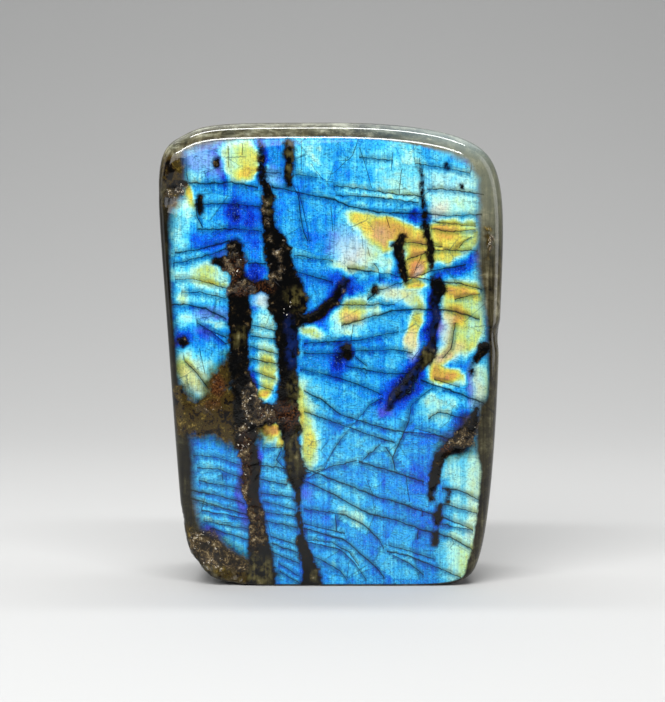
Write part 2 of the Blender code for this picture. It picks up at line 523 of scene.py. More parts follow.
# Each patch has column, row, half width, half height and order. Those that aren't as usual also
# have the softness of their edge and their lean in degrees.
PATCHES = (
    # Upper left
    (205, 165, 19, 17, AZURE + 0.02, 0.8), (194, 178, 9, 7, CYAN, 0.8),
    (222, 165, 3, 20, ROYAL - 0.04, 1.0), (241, 163, 17, 20, LIME - 0.01, 0.6),
    (249, 162, 6, 16, YELLOW - 0.03, 1.2), (231, 160, 5, 14, LIME - 0.04, 1.1),
    (247, 174, 9, 6, GOLD, 1.0), (260, 158, 3, 20, ROYAL, 1.0), (272, 178, 8, 6, SKY, 0.8),
    (191, 198, 5, 12, GOLD - 0.02, 0.8, 15), (183, 212, 9, 13, AQUA - 0.03),
    (245, 214, 19, 14, ROYAL + 0.06), (231, 213, 5, 18, ROYAL - 0.06, 1.2),
    (205, 240, 30, 9, ROYAL + 0.05, 0.8, 6), (180, 235, 8, 20, CYAN), (250, 238, 14, 9, ROYAL + 0.10),
    (256, 271, 10, 9, ROYAL, 0.4),
    # Left, down to the olive field
    (200, 272, 26, 9, AQUA + 0.03, 0.7), (206, 268, 12, 6, LIME - 0.03),
    (214, 283, 15, 5, LIME + 0.06, 0.9, -8), (185, 275, 10, 10, CYAN), (200, 297, 26, 6, CYAN - 0.02),
    (182, 296, 8, 8, LIME - 0.02), (210, 312, 20, 6, AZURE - 0.04, 0.9, -8), (188, 318, 10, 7, AQUA),
    (215, 323, 18, 5, AQUA - 0.02, 0.9, -10), (212, 332, 17, 5, AZURE - 0.08, 0.8, -30),
    (184, 339, 9, 9, NAVY), (197, 342, 9, 9, ROYAL + 0.02), (213, 350, 18, 12, SKY, 0.8),
    (188, 353, 10, 8, CYAN), (197, 374, 26, 14, LIME - 0.04, 0.7, -50),
    (190, 368, 14, 9, LIME + 0.02, 0.9, -45), (215, 368, 12, 10, AQUA - 0.02),
    # Between the seams
    (264, 300, 8, 8, AQUA, 0.7), (256, 309, 6, 5, ROYAL + 0.04), (264, 326, 13, 18, CYAN, 0.6),
    (266, 366, 11, 22, LIME, 0.7), (267, 372, 8, 15, YELLOW - 0.06, 1.1), (264, 393, 8, 6, GOLD + 0.02),
    (250, 375, 3, 11, ROYAL), (270, 426, 10, 8, GOLD, 0.8), (279, 438, 6, 5, YELLOW + 0.03, 0.8),
    (267, 438, 6, 5, AQUA + 0.03), (273, 455, 12, 14, SKY - 0.02, 0.8), (260, 455, 3, 16, ROYAL + 0.04),
    (283, 520, 14, 50, AZURE + 0.06),
    # Lower left
    (220, 455, 24, 14, SKY - 0.01), (204, 472, 11, 16, SKY + 0.02),
    (220, 502, 24, 34, AZURE + 0.08, 0.8), (244, 490, 5, 34, ROYAL + 0.08),
    (210, 526, 12, 6, ROYAL + 0.06, 0.9, -10),
    # Upper middle
    (303, 162, 12, 20, SKY + 0.05, 0.8), (286, 212, 12, 26, AZURE - 0.02, 0.7, -10),
    (318, 165, 12, 22, SKY + 0.04, 0.8), (341, 158, 15, 18, AZURE + 0.03, 0.7),
    (386, 160, 32, 20, CYAN - 0.02, 0.8), (402, 178, 22, 18, CYAN + 0.03, 0.8),
    (396, 192, 26, 12, CYAN + 0.05), (360, 190, 22, 8, CYAN - 0.03, 0.8),
    (330, 210, 30, 10, AZURE + 0.02, 0.8, -6), (380, 204, 34, 6, SKY + 0.02, 0.8, -4),
    (415, 216, 8, 6, ROYAL - 0.04), (320, 232, 24, 22, AZURE + 0.04, 0.8),
    (345, 228, 12, 12, SKY + 0.02), (348, 250, 17, 17, AQUA - 0.02, 0.8),
    (364, 220, 16, 7, YELLOW, 0.8, -25), (384, 223, 24, 7, YELLOW, 0.8),
    (390, 236, 25, 12, YELLOW + 0.03, 0.8, -4), (381, 237, 13, 11, ORANGE - 0.02),
    (400, 230, 14, 8, ORANGE - 0.04, 0.9, -10), (371, 254, 12, 10, LIME - 0.02, 0.8),
    (384, 263, 10, 11, AQUA, 0.8), (391, 242, 3, 3, CYAN, 1.0), (417, 252, 13, 22, GOLD, 0.7),
    (412, 268, 9, 9, ORANGE), (344, 265, 26, 5, LIME - 0.04, 0.9, -6),
    (310, 262, 16, 10, AZURE + 0.05, 0.8), (344, 281, 22, 8, ROYAL + 0.04, 0.9, -7),
    (331, 301, 22, 9, NAVY + 0.04, 1.0, 48), (380, 283, 18, 5, AZURE - 0.06, 0.9, -7),
    (415, 282, 12, 4, GOLD, 0.8, -8),
    # Upper right
    (448, 156, 20, 8, SKY + 0.03, 0.9, -15), (448, 182, 30, 16, AQUA - 0.03, 0.7),
    (450, 205, 28, 12, AQUA, 0.7), (450, 234, 25, 15, YELLOW, 0.5), (441, 230, 12, 10, GOLD),
    (468, 234, 7, 15, LIME, 0.8), (444, 252, 18, 11, YELLOW - 0.03, 0.7),
    (436, 254, 9, 8, YELLOW + 0.02, 0.8), (465, 259, 12, 6, ROYAL, 0.8, 20),
    (450, 272, 20, 6, ROYAL - 0.02, 0.8, 25), (471, 276, 9, 6, SKY),
    # Right of the middle
    (397, 294, 26, 9, AQUA + 0.02, 0.8), (410, 295, 10, 8, LIME, 0.8),
    (356, 300, 12, 8, LIME - 0.02, 0.8), (350, 314, 17, 13, YELLOW - 0.03, 1.1),
    (352, 314, 8, 6, GOLD - 0.02, 1.2), (371, 313, 8, 8, LIME - 0.04, 0.8),
    (344, 330, 14, 6, AQUA - 0.02), (310, 331, 12, 6, LIME), (386, 330, 28, 15, AZURE + 0.05, 0.8),
    (415, 325, 6, 24, LIME + 0.06, 0.8, -8), (425, 325, 4, 26, ROYAL + 0.05, 0.8, -8),
    (434, 320, 8, 27, NAVY), (439, 346, 5, 9, ROYAL + 0.10), (460, 302, 20, 26, LIME + 0.02, 0.7),
    (460, 291, 14, 7, GOLD), (459, 317, 13, 10, GOLD + 0.03), (473, 325, 9, 24, LIME - 0.02, 0.8),
    (453, 338, 14, 12, LIME), (462, 347, 12, 8, LIME + 0.04), (440, 372, 20, 9, YELLOW - 0.02, 0.8, -15),
    (444, 371, 14, 6, ORANGE - 0.05, 1.0, -15), (453, 359, 4, 3, AZURE + 0.06, 1.0),
    (440, 353, 13, 6, GOLD, 0.9, 42), (466, 384, 3, 17, AZURE - 0.06),
    (477, 380, 9, 20, AQUA + 0.03, 0.7), (441, 405, 22, 15, CYAN, 0.6),
    (430, 398, 12, 9, AQUA - 0.03, 0.8), (459, 420, 8, 14, ROYAL + 0.03, 0.8, 15),
    (402, 383, 31, 14, ROYAL + 0.04, 0.9, 54), (404, 383, 28, 10, NAVY, 0.9, 54),
    (387, 406, 14, 9, ROYAL), (345, 353, 9, 10, ROYAL + 0.06), (337, 362, 10, 22, ROYAL - 0.06, 0.9, -8),
    (335, 370, 6, 12, NAVY + 0.03, 1.2, -8),
    # Lower middle and right
    (314, 425, 14, 40, AQUA - 0.04), (303, 400, 9, 24, YELLOW, 0.8), (304, 414, 9, 9, GOLD - 0.04),
    (308, 440, 8, 24, LIME + 0.05, 0.8), (345, 400, 34, 28, SKY - 0.03), (350, 450, 28, 20, SKY - 0.03),
    (418, 476, 12, 18, AZURE - 0.08), (461, 468, 21, 17, AQUA - 0.04, 0.6),
    (464, 508, 21, 28, AQUA - 0.04, 0.7), (460, 556, 22, 34, AQUA - 0.03, 0.7, 6),
    (475, 505, 8, 56, AQUA + 0.03, 1.0, 2), (466, 562, 10, 18, LIME - 0.02, 1.0, 14),
    (425, 522, 16, 20, AZURE - 0.06, 0.8), (352, 509, 16, 9, AQUA - 0.08, 0.9, -25),
    (345, 487, 28, 7, SKY, 0.9, -18), (345, 562, 22, 14, SKY),
)
GROUND_ORDER = 0.44
BOXINESS = 2.5
USUAL_SOFTNESS = 0.9


def patch_weight(points, column, row, half_width, half_height, softness=USUAL_SOFTNESS, lean=0):
    """How much of a patch shows at each point, from 0 outside it to 1 in its middle."""
    turn = math.radians(lean)
    x, z = (points - spot(column, row)).T * PIXELS_PER_MM
    along = (x * math.cos(turn) + z * math.sin(turn)) / half_width
    across = (z * math.cos(turn) - x * math.sin(turn)) / half_height
    away = (np.abs(along) ** BOXINESS + np.abs(across) ** BOXINESS) ** (1 / BOXINESS)
    return ((1 + softness / 2 - away) / softness).clip(0, 1)


def mix_patches(patches, points, ground):
    mixed = np.full(len(points), ground)
    for column, row, half_width, half_height, value, *edge in patches:
        mixed += (value - mixed) * patch_weight(points, column, row, half_width, half_height, *edge)
    return mixed


straight = places[:, [0, 2]]
wandering = wavy(straight, PATCH_WAVES)
order = mix_patches(PATCHES, wandering, GROUND_ORDER)
print("order of the flash runs from", round(float(order.min()), 2), "to", round(float(order.max()), 2))

# %% [markdown]
# Some places differ from what their order says: a milky bloom in the middle, cream spots by the
# gold and a violet edge on the lower left field. The seams aren't all black either: they
# hold olive glass, rust, grains and dark blue. Each is a set of patches of its own, with a
# strength in place of an order.

# %% Blooms and what the seams hold
TINTS = {
    "milky": (
        (346, 244, 17, 16, 0.8), (205, 160, 20, 14, 0.5), (264, 298, 8, 7, 0.9, 0.8),
        (446, 184, 26, 14, 0.25), (272, 176, 9, 9, 0.3), (210, 314, 18, 6, 0.3),
    ),
    "cream": (
        (438, 209, 9, 6, 0.8), (354, 256, 13, 9, 0.6, 1.4), (440, 352, 12, 5, 0.7, 0.9, 42),
        (416, 269, 4, 5, 0.7, 1.0), (445, 326, 6, 17, 0.7), (413, 340, 6, 14, 0.7),
        (450, 349, 10, 6, 0.5), (472, 385, 7, 18, 0.5), (398, 294, 16, 8, 0.5), (350, 318, 12, 8, 0.3),
        (474, 520, 7, 60, 0.3, 1.2), (195, 380, 12, 16, 0.4), (380, 236, 10, 8, 0.25),
    ),
    "violet": (
        (244, 490, 4, 36, 0.8), (208, 528, 9, 5, 0.8), (385, 408, 9, 5, 0.8), (452, 433, 12, 5, 0.6),
        (215, 312, 16, 5, 0.5), (206, 330, 10, 4, 0.5, 0.9, -30), (259, 455, 3, 16, 0.6),
        (226, 250, 10, 3, 0.5, 0.9, 20), (305, 492, 8, 6, 0.5),
    ),
    "glass": (
        (299, 297, 12, 9, 1.0, 0.7), (240, 335, 6, 7, 0.8), (273, 206, 5, 6, 0.4),
        (295, 388, 6, 14, 0.8, 0.8), (258, 567, 14, 15, 0.9, 0.6), (314, 574, 6, 6, 0.6, 0.8),
        (289, 158, 5, 16, 0.8, 0.8), (426, 350, 6, 14, 0.8, 0.8), (294, 449, 6, 20, 0.6),
    ),
    "rust": (
        (220, 382, 8, 9, 1.0, 0.8), (212, 399, 8, 6, 0.6), (270, 412, 10, 5, 0.6), (242, 290, 9, 6, 0.7),
        (246, 468, 6, 36, 0.5), (289, 411, 9, 12, 0.7, 0.8), (262, 285, 10, 5, 0.5),
        (215, 533, 12, 4, 0.9, 0.9, -20), (444, 444, 8, 6, 0.8), (236, 268, 8, 12, 0.5),
        (255, 520, 7, 24, 0.25),
    ),
    "grains": (
        (246, 288, 16, 8, 0.8, 0.8), (252, 398, 10, 20, 0.7, 0.8), (266, 412, 14, 9, 0.8, 0.8),
        (247, 465, 6, 30, 0.8, 0.8), (212, 547, 26, 15, 1.0, 0.5, -25), (238, 560, 15, 8, 0.9, 0.7, -20),
        (238, 262, 13, 18, 0.55), (462, 436, 13, 12, 0.8, 0.7, 20), (477, 430, 3, 24, 0.8),
        (338, 290, 8, 14, 0.4), (178, 191, 11, 3, 0.8, 0.6), (256, 525, 9, 26, 0.6),
        (278, 258, 10, 26, 0.35), (268, 205, 5, 26, 0.4), (205, 406, 10, 7, 0.6), (488, 246, 3, 13, 0.8),
        (240, 425, 8, 10, 0.5),
    ),
    # Patches where painted glints, bright highlights that stand in for light off broken grains, are more
    # likely.
    "painted_highlight_patches": (
        (178, 191, 10, 4, 1.0, 0.8), (249, 426, 6, 5, 1.0, 0.8), (248, 403, 6, 10, 0.6),
        (268, 410, 8, 5, 0.6), (197, 533, 9, 5, 0.8), (214, 562, 16, 4, 0.8, 0.9, -35),
        (487, 242, 4, 12, 0.7), (477, 430, 3, 24, 0.9), (245, 455, 4, 24, 0.4), (216, 404, 5, 8, 0.6),
        (240, 266, 6, 8, 0.4), (287, 306, 6, 8, 0.4),
    ),
    "ink": (
        (291, 350, 6, 15, 1.0, 0.7), (338, 285, 8, 10, 0.6), (433, 320, 5, 24, 0.8, 0.8),
        (402, 385, 26, 6, 0.8, 0.8, 54), (288, 325, 5, 10, 0.6), (447, 167, 5, 4, 1.0, 0.8),
    ),
}
tints = {name: mix_patches(patches, wandering, 0.0) for name, patches in TINTS.items()}
print("mean strengths:", {name: round(float(values.mean()), 3) for name, values in tints.items()})

# %% [markdown]
# The flash fills most of the front and ends at the ground rim, at the olive ground and at the
# rough corner, not everywhere where the rim begins. So its own edge is noted too.

# %% Edge of the flash
FLASH_EDGE = (
    (186, 153), (200, 147.5), (225, 142.5), (260, 139.5), (300, 138.5), (345, 138), (385, 141),
    (420, 147), (445, 153), (464, 162), (475, 180), (476, 205), (474, 240), (475, 270), (480, 300),
    (484, 330), (484, 345), (488, 370), (486, 392), (476, 402), (472, 424), (474, 448), (479, 464),
    (477, 500), (473, 530), (469, 550), (463, 571), (456, 580), (440, 588), (275, 592), (250, 570),
    (236, 558), (222, 538), (205, 530), (199, 511), (195, 490), (195, 460), (194, 445), (190, 420),
    (186, 400), (182, 380), (180, 360), (177, 330), (174, 300), (173, 260), (173, 225), (175, 208),
    (184, 196), (187, 187), (187, 170),
)


def depth_inside(corners, points):
    """Distance of each point to the edge of a polygon, positive inside it."""
    nearest = np.full(len(points), FAR_OFF, dtype=float)
    inside = np.zeros(len(points), dtype=bool)
    for first, last in zip(corners, corners[1:] + corners[:1]):
        start, end = spot(*first), spot(*last)
        nearest = np.minimum(nearest, measure(start, end, points)[1])
        crossed = (start[1] > points[:, 1]) != (end[1] > points[:, 1])
        crossing = start[0] + (points[:, 1] - start[1]) * (end[0] - start[0]) / (end[1] - start[1] + TINY)
        inside ^= crossed & (points[:, 0] < crossing)
    return np.where(inside, nearest, -nearest)


flashing = depth_inside(FLASH_EDGE, straight)
print("share of the surface inside the edge:", round(float((flashing > 0).mean()), 3))

# %% [markdown]
# ## Chips, rough corner and pits
# Polishing leaves hollows where the stone had chipped, and the lower left corner was left as it
# broke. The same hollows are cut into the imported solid. Here the mesh is fine enough to add
# their crumb, and to sink the soft seams a little below the hard feldspar, as a polishing wheel does.

# %% Sink the hollows and seams
# Each hollow has the x, y and z of its middle, its radius and its depth.
HOLLOWS = (
    (-40.5, -15, 101.7, 6.0, 1.3),
    (-33.0, -19, 9.5, 9.0, 1.8),
    (-25.0, -20, 4.5, 6.0, 1.2),
    (-37.5, -13, 17.0, 6.0, 1.0),
    (42.5, -12, 64.5, 5.0, 0.8),
    (14.0, 18, 38.0, 13.0, 1.2),
)
# Crumb and pits have their depth, length and layer of the noise. Edges are where each sets in fully.
CRUMB, CRUMB_LENGTH, CRUMB_LAYER = 0.30, 1.1, 5
SEAM_PITS, PIT_LENGTH, PIT_LAYER = 0.16, 0.9, 9
SEAM_SINK = 0.10
SEAM_EDGE = 0.5
CHIP_EDGE = 0.5
CHIP_START = 0.02


def hollow_depths():
    depth = np.zeros(len(places))
    for x, y, z, radius, deepest in HOLLOWS:
        away = np.linalg.norm(places - (x, y, z), axis=1) / radius
        depth += deepest * (1 - away.clip(0, 1) ** 2) ** 2
    return depth


def rough(chosen, length, layer):
    """Noise from -1 to 1 at the chosen vertices, and 0 at the others."""
    values = np.zeros(len(places))
    shift = Vector((layer, 0, 0))
    values[chosen] = [noise.noise(Vector(point) / length + shift) for point in places[chosen]]
    return values


sunk = hollow_depths()
crumb = rough(sunk > CHIP_START, CRUMB_LENGTH, CRUMB_LAYER) * (sunk / CHIP_EDGE).clip(0, 1)
in_seam = (seam / SEAM_EDGE).clip(0, 1)
pits = rough(in_seam > 0, PIT_LENGTH, PIT_LAYER).clip(0)
sink = sunk + CRUMB * crumb + SEAM_SINK * in_seam + SEAM_PITS * in_seam * pits
places -= normals * sink[:, None]
places[:, 2] = places[:, 2].clip(0)
middle = (places.min(axis=0) + places.max(axis=0)) / 2
middle[2] = 0
stone.data.vertices.foreach_set("co", ((places - middle) * MM).astype(np.float32).ravel())
stone.data.update()
print("deepest hollow, mm:", round(float(sink.max()), 2))

# %% [markdown]
# The fields are stored on the mesh as attributes, which the material reads by name. Facing says
# how squarely the surface looks along the flash, which shines forwards and, weaker,
# backwards. That is why it stops at the rims.

# %% Store the fields
FIELDS = {
    "seam": seam,
    "olive": olive,
    "order": order,
    **tints,
    "flashing": flashing,
    "facing": -normals[:, 1],
    "rising": normals[:, 2],
    "hollow": sunk,
}
for name, values in FIELDS.items():
    attribute = stone.data.attributes.new(name, "FLOAT", "POINT")
    attribute.data.foreach_set("value", values.astype(np.float32))
print("fields:", ", ".join(FIELDS))

# %% [markdown]
# ## The material's notes
# The material works in millimetres on the stone's own coordinates. Colours are noted as they
# look on a screen and turned into the linear values that the shader needs.


# %% Colours and helpers
def screen(red, green, blue):
    """A screen colour from 0 to 255 as linear red, green, blue and alpha, by the sRGB rule."""
    shares = [value / 255 for value in (red, green, blue)]
    return (*(((c + 0.055) / 1.055) ** 2.4 if c > 0.04 else c / 12.92 for c in shares), 1)


def ramp(factor, stops):
    """A colour ramp. Each stop has its position and its screen colour."""
    node = factor.tree.nodes.new("ShaderNodeValToRGB")
    elements = node.color_ramp.elements
    while len(elements) < len(stops):
        elements.new(0.5)
    for element, (position, *tone) in zip(elements, stops):
        element.position = position
        element.color = screen(*tone)
    plug(factor, node.inputs[0])
    return Term(factor.tree, node.outputs[0])


def blend(factor, first, second, kind="MIX"):
    """Mix two colours. Either may be a term or a plain colour."""
    node = factor.tree.nodes.new("ShaderNodeMix")
    node.data_type = "RGBA"
    node.blend_type = kind
    plug(factor, node.inputs[0])
    plug(first, node.inputs[6])
    plug(second, node.inputs[7])
    return Term(factor.tree, node.outputs[2])


def coat(colour, *layers):
    """Lay screen colours over a colour. Each layer has its share, its colour and, if not MIX, its kind."""
    for share, tone, *kind in layers:
        colour = blend(share, colour, screen(*tone), *kind)
    return colour


def cloud(vector, scale, detail=2.0, roughness=0.5, distortion=0.0):
    """Noise from 0 to 1 with features about 1 / scale long."""
    values = {"Vector": vector, "Scale": scale, "Detail": detail, "Roughness": roughness}
    values["Distortion"] = distortion
    return add_node(vector.tree, "ShaderNodeTexNoise", inputs=values)


# %% Start the finish
stone_material.use_nodes = True
finish = stone_material.node_tree
shader = finish.nodes["Principled BSDF"]
metres = add_node(finish, "ShaderNodeTexCoord", output="Object")
to_mm = (1 / MM,) * 3
where = add_node(finish, "ShaderNodeVectorMath", inputs={0: metres, 1: to_mm}, operation="MULTIPLY")
x, y, z = parts(where)
stored = {}
for name in FIELDS:
    stored[name] = add_node(finish, "ShaderNodeAttribute", output="Fac", attribute_name=name)
facing = stored["facing"]
chip = stored["hollow"]
print("fields in the finish:", len(stored))

# %% [markdown]
# Natural stone varies at every size, from clouds as wide as a hand to grains of half a
# millimetre. A handful of noises gives each of these sizes, and every effect below reads
# them, so that a seam, a crack and the flash beside it waver together. Feldspar is also made of
# thin upright twins, which noises stretched upwards stand for.


# %% Noises that the effects share
def stretched(across, through, down):
    """The place on the stone, scaled along each axis. A small value makes a noise long that way."""
    return join(finish, x * across, y * through, z * down)


slow = cloud(where, 0.12, 3)
medium = cloud(where, 0.55, 3)
fine = cloud(where, 1.9, 3, 0.6)
grain = cloud(where, 3.6, 2, 0.7)
shreds = cloud(where, 0.9, 4, 0.7, 1.6)
veins = cloud(where, 0.32, 4, 0.65, 0.9)
twin = cloud(stretched(2.2, 0.3, 0.10), 1.0, 3, 0.7)
broad_twin = cloud(stretched(0.42, 0.1, 0.03), 1.0, 2)
streaks = cloud(stretched(0.9, 0.4, 0.05), 1.0, 4, 0.62)
wisps = cloud(stretched(0.22, 0.5, 0.5), 1.0, 4, 0.65, 0.5)
print("nodes so far:", len(finish.nodes))

# %% [markdown]
# ## Hairline cracks
# Thin dark cleavage cracks cross the front, nearly level above and sloping down to the right
# below. They are finer than any mesh can carry, so they are drawn in the material: each is
# a height that depends on x, held by a Float Curve. Cracks that don't lie above each other
# share one curve, which jumps between them too steeply to be seen.

# %% Where the cracks run
# Each crack has the columns and rows of its points in turn.
STRONG_CRACKS = (
    (188, 183, 209, 184, 233, 183, 260, 188),
    (271, 187, 300, 193, 334, 200, 348, 206, 376, 212, 400, 213, 420, 213, 446, 216, 480, 214),
    (175, 252, 200, 249, 215, 244, 231, 240), (247, 262, 267, 263),
    (171, 303, 191, 303, 209, 308, 227, 317), (184, 357, 198, 371, 211, 388),
    (345, 267, 382, 272, 405, 276, 431, 279, 460, 283, 480, 288),
    (339, 324, 366, 316, 396, 308, 417, 307, 450, 309, 478, 318),
    (364, 299, 376, 289, 403, 280, 429, 270, 464, 264), (417, 377, 450, 388, 480, 400, 495, 413),
    (302, 387, 320, 396, 339, 411, 366, 420, 394, 428, 432, 431, 450, 437),
    (302, 408, 320, 414, 348, 424, 372, 433, 394, 439),
    (302, 464, 320, 471, 348, 482, 376, 493, 402, 501, 424, 508, 450, 517, 472, 527),
    (302, 476, 320, 484, 344, 497, 368, 510, 394, 516, 424, 527, 450, 534, 469, 545, 476, 555),
    (357, 458, 394, 469, 424, 479), (439, 484, 458, 487, 482, 499),
    (302, 505, 320, 507, 344, 511, 363, 521, 378, 536, 385, 549),
    (302, 524, 320, 529, 344, 536, 361, 551, 376, 564, 385, 577),
    (385, 547, 404, 551, 432, 562, 461, 575), (186, 486, 215, 491, 246, 500),
    (187, 494, 215, 502, 249, 511),
)
LEVEL_CRACKS = (
    (430, 221, 452, 224, 474, 226), (404, 258, 418, 254, 425, 252), (357, 158, 392, 161),
    (432, 377, 459, 385), (334, 195, 380, 198, 418, 203), (331, 186, 361, 189, 391, 194, 422, 197),
    (294, 175, 318, 178), (411, 164, 446, 169, 469, 175), (424, 189, 450, 190, 482, 195),
    (197, 229, 215, 229, 236, 228, 263, 231), (200, 204, 227, 203, 262, 207), (263, 173, 282, 174),
    (173, 262, 188, 260, 209, 254, 227, 248), (175, 278, 197, 278, 211, 282, 235, 289),
    (182, 291, 200, 290, 227, 297), (196, 320, 210, 328, 227, 342), (204, 326, 228, 336),
    (292, 254, 318, 258, 334, 261), (291, 269, 309, 274, 318, 277, 334, 281),
    (401, 241, 424, 244, 441, 246), (428, 228, 450, 231, 474, 229), (430, 249, 476, 250),
    (321, 303, 339, 303, 394, 303), (450, 298, 478, 292), (302, 341, 320, 340, 357, 338, 398, 329),
    (344, 349, 391, 347, 411, 350), (302, 351, 318, 351, 344, 351), (353, 353, 366, 364),
    (344, 363, 381, 370, 417, 372), (298, 366, 320, 371, 342, 376, 366, 385, 383, 393),
    (426, 416, 437, 409, 465, 416), (412, 425, 430, 430, 454, 437),
    (302, 476, 323, 466, 331, 448, 353, 420, 368, 402, 383, 394), (302, 470, 320, 466, 357, 457),
    (361, 457, 368, 450, 380, 441), (439, 520, 472, 527), (440, 500, 476, 510),
    (302, 537, 320, 541, 339, 545, 353, 558, 366, 577), (302, 547, 320, 556, 339, 566, 348, 579),
    (387, 541, 413, 549, 435, 556), (391, 551, 409, 560, 424, 573), (193, 452, 215, 453, 242, 462),
    (197, 464, 220, 466, 244, 475), (198, 477, 224, 482, 245, 486), (198, 499, 247, 510),
    (200, 506, 249, 515), (202, 517, 251, 526), (209, 524, 253, 537), (250, 322, 277, 329),
    (250, 333, 277, 337), (250, 344, 279, 352), (250, 356, 279, 362), (252, 368, 277, 377),
    (253, 380, 275, 388), (261, 444, 282, 444), (260, 462, 286, 465), (260, 475, 289, 482),
    (260, 489, 294, 493), (262, 497, 296, 506), (264, 508, 298, 513), (266, 517, 298, 524),
    (268, 531, 299, 542), (270, 539, 299, 549), (271, 548, 300, 560), (276, 558, 300, 573),
    (278, 567, 300, 580), (302, 519, 320, 524, 345, 530), (306, 536, 330, 538, 348, 548, 358, 562),
)
STEEP_CRACKS = (
    (292, 184, 298, 196, 300, 214, 303, 231, 308, 242), (197, 198, 198, 216, 204, 227),
    (430, 385, 409, 402, 407, 418, 391, 454, 394, 468), (383, 442, 391, 454),
    (372, 262, 377, 268, 378, 280), (471, 236, 462, 240, 455, 248), (222, 468, 223, 478),
    (281, 446, 276, 456, 284, 464), (453, 320, 449, 345, 440, 356), (334, 510, 336, 528),
    (420, 503, 420, 513), (416, 525, 416, 537),
)
FAINT_CRACKS = (
    (357, 139, 352, 156, 331, 175), (358, 148, 364, 166, 370, 188), (310, 164, 316, 172, 323, 181),
    (391, 152, 389, 172), (400, 167, 397, 195), (417, 158, 418, 167), (384, 214, 388, 228),
    (360, 233, 362, 250), (366, 246, 369, 257), (420, 252, 412, 272), (424, 260, 409, 271),
    (297, 186, 301, 202, 306, 224, 309, 243), (229, 145, 230, 170), (243, 143, 243, 158),
    (214, 169, 196, 176), (330, 205, 332, 232), (200, 345, 206, 372), (352, 322, 350, 340),
    (418, 345, 410, 358), (365, 475, 372, 492), (404, 470, 408, 500),
)
# A curve runs from 0 to 1, which stands for the columns or rows from CURVE_LOW over CURVE_SPAN.
CURVE_LOW = 100
CURVE_SPAN = 500
CRACK_GAP = 4


def share_curves(cracks, steep):
    """Group cracks so that those in one group follow each other. Steep ones run along their rows."""
    runs = []
    for crack in cracks:
        points = list(zip(crack[::2], crack[1::2]))
        runs.append(sorted((row, column) for column, row in points) if steep else points)
    groups = []
    for run in sorted(runs):
        for group in groups:
            if group[-1][-1][0] + CRACK_GAP < run[0][0]:
                group.append(run)
                break
        else:
            groups.append([run])
    return groups


# Each set has its cracks, whether they are steep, half a crack's width as a share of the span, and
# the strength of the shade beside it.
CRACK_SETS = {
    "strong": (STRONG_CRACKS, False, 0.0030, 1.0),
    "level": (LEVEL_CRACKS, False, 0.0019, 1.0),
    "steep": (STEEP_CRACKS, True, 0.0019, 1.0),
    "faint": (FAINT_CRACKS, True, 0.0013, 0.25),
}
print({name: len(share_curves(*values[:2])) for name, values in CRACK_SETS.items()}, "curves")

# %% Draw the cracks
# The jump to a crack's first point and the reach of the shade are shares of the span too.
JUMP = 0.002
SHADE_REACH = 0.022


def crack_height(place, group):
    """A Float Curve that follows the cracks of a group and is parked off the stone elsewhere."""
    node = place.tree.nodes.new("ShaderNodeFloatCurve")
    curve = node.mapping.curves[0]
    points = [(0, 0)]
    for run in group:
        unit = [((a - CURVE_LOW) / CURVE_SPAN, (b - CURVE_LOW) / CURVE_SPAN) for a, b in run]
        points += [(unit[0][0] - JUMP, 0), *unit, (unit[-1][0] + JUMP, 0)]
    points.append((1, 0))
    while len(curve.points) < len(points):
        curve.points.new(0.5, 0.5)
    for point, location in zip(curve.points, points):
        point.location = location
        point.handle_type = "VECTOR"
    node.mapping.update()
    plug(place, node.inputs["Value"])
    return Term(place.tree, node.outputs[0])


def draw_cracks(column, row, strength):
    """Mask of the cracks, and a soft shade beside them that is positive below each one."""
    lines = []
    shades = []
    for cracks, steep, half_width, shade_share in CRACK_SETS.values():
        along, height = (row, column) if steep else (column, row)
        for group in share_curves(cracks, steep):
            away = height - crack_height(along, group)
            lines.append(away.size().step(half_width * strength, 0))
            beside = away.size().step(SHADE_REACH, 0)
            shades.append(beside * beside * away.sign() * shade_share)
    return reduce(Term.most, lines), reduce(Term.__add__, shades)


# Columns and rows of the photograph from 0 to 1, made a little unsteady.
column = ((x + medium.swing(0.5)) * PIXELS_PER_MM + (MIDDLE_COLUMN - CURVE_LOW)) / CURVE_SPAN
row = (z * -1 + medium.swing(1.1) + fine.swing(0.45)) * PIXELS_PER_MM
row = (row + (FOOT_ROW - CURVE_LOW)) / CURVE_SPAN
cracks, shade = draw_cracks(column, row, slow.step(0.3, 0.6) * 0.7 + fine * 0.9)
print("nodes so far:", len(finish.nodes))

# %% [markdown]
# Between the noted cracks lies a net of finer ones that nobody could note one by one. Some follow
# the contour lines of a noise that is stretched sideways, and some the joints between blocks.

# %% Add the fine net
CONTOURS = (0.38, 0.44, 0.50, 0.56, 0.62)
CONTOUR_WIDTH = 0.013

level = cloud(join(finish, x * 0.05, 3.0, z * 0.28 + x * 0.04), 1.0, 3, 0.6, 0.4)
hairlines = reduce(Term.most, [(level - height).size().step(CONTOUR_WIDTH, 0) for height in CONTOURS])
hairlines = hairlines * medium.step(0.38, 0.58)
block_place = join(finish, (x + fine.swing(1.5)) * 0.10, y * 0.02, (z + fine.swing(1.5) + x * 0.2) * 0.17)
blocks = {"Vector": block_place, "Scale": 1.0}
block, block_light, _ = parts(add_node(finish, "ShaderNodeTexVoronoi", output="Color", inputs=blocks))
joint = add_node(finish, "ShaderNodeTexVoronoi", inputs=blocks, feature="DISTANCE_TO_EDGE")
joint_line = joint.step(0.022, 0.004) * slow.step(0.42, 0.60)
print("contours:", len(CONTOURS))

# %% [markdown]
# ## The colour of the flash
# In the hand the flash comes and goes as the stone is turned. A shader that follows the angle of
# view could do that, but it would be lost in a bake, so the flash is painted as it looks when it
# is full. The order picks its colour from one ramp, from near black through blue and green to
# orange. The noises and blocks unsettle the order first, less so where it is high. Then blooms,
# twin lines, specks and cracks are laid over it, each with its own share.

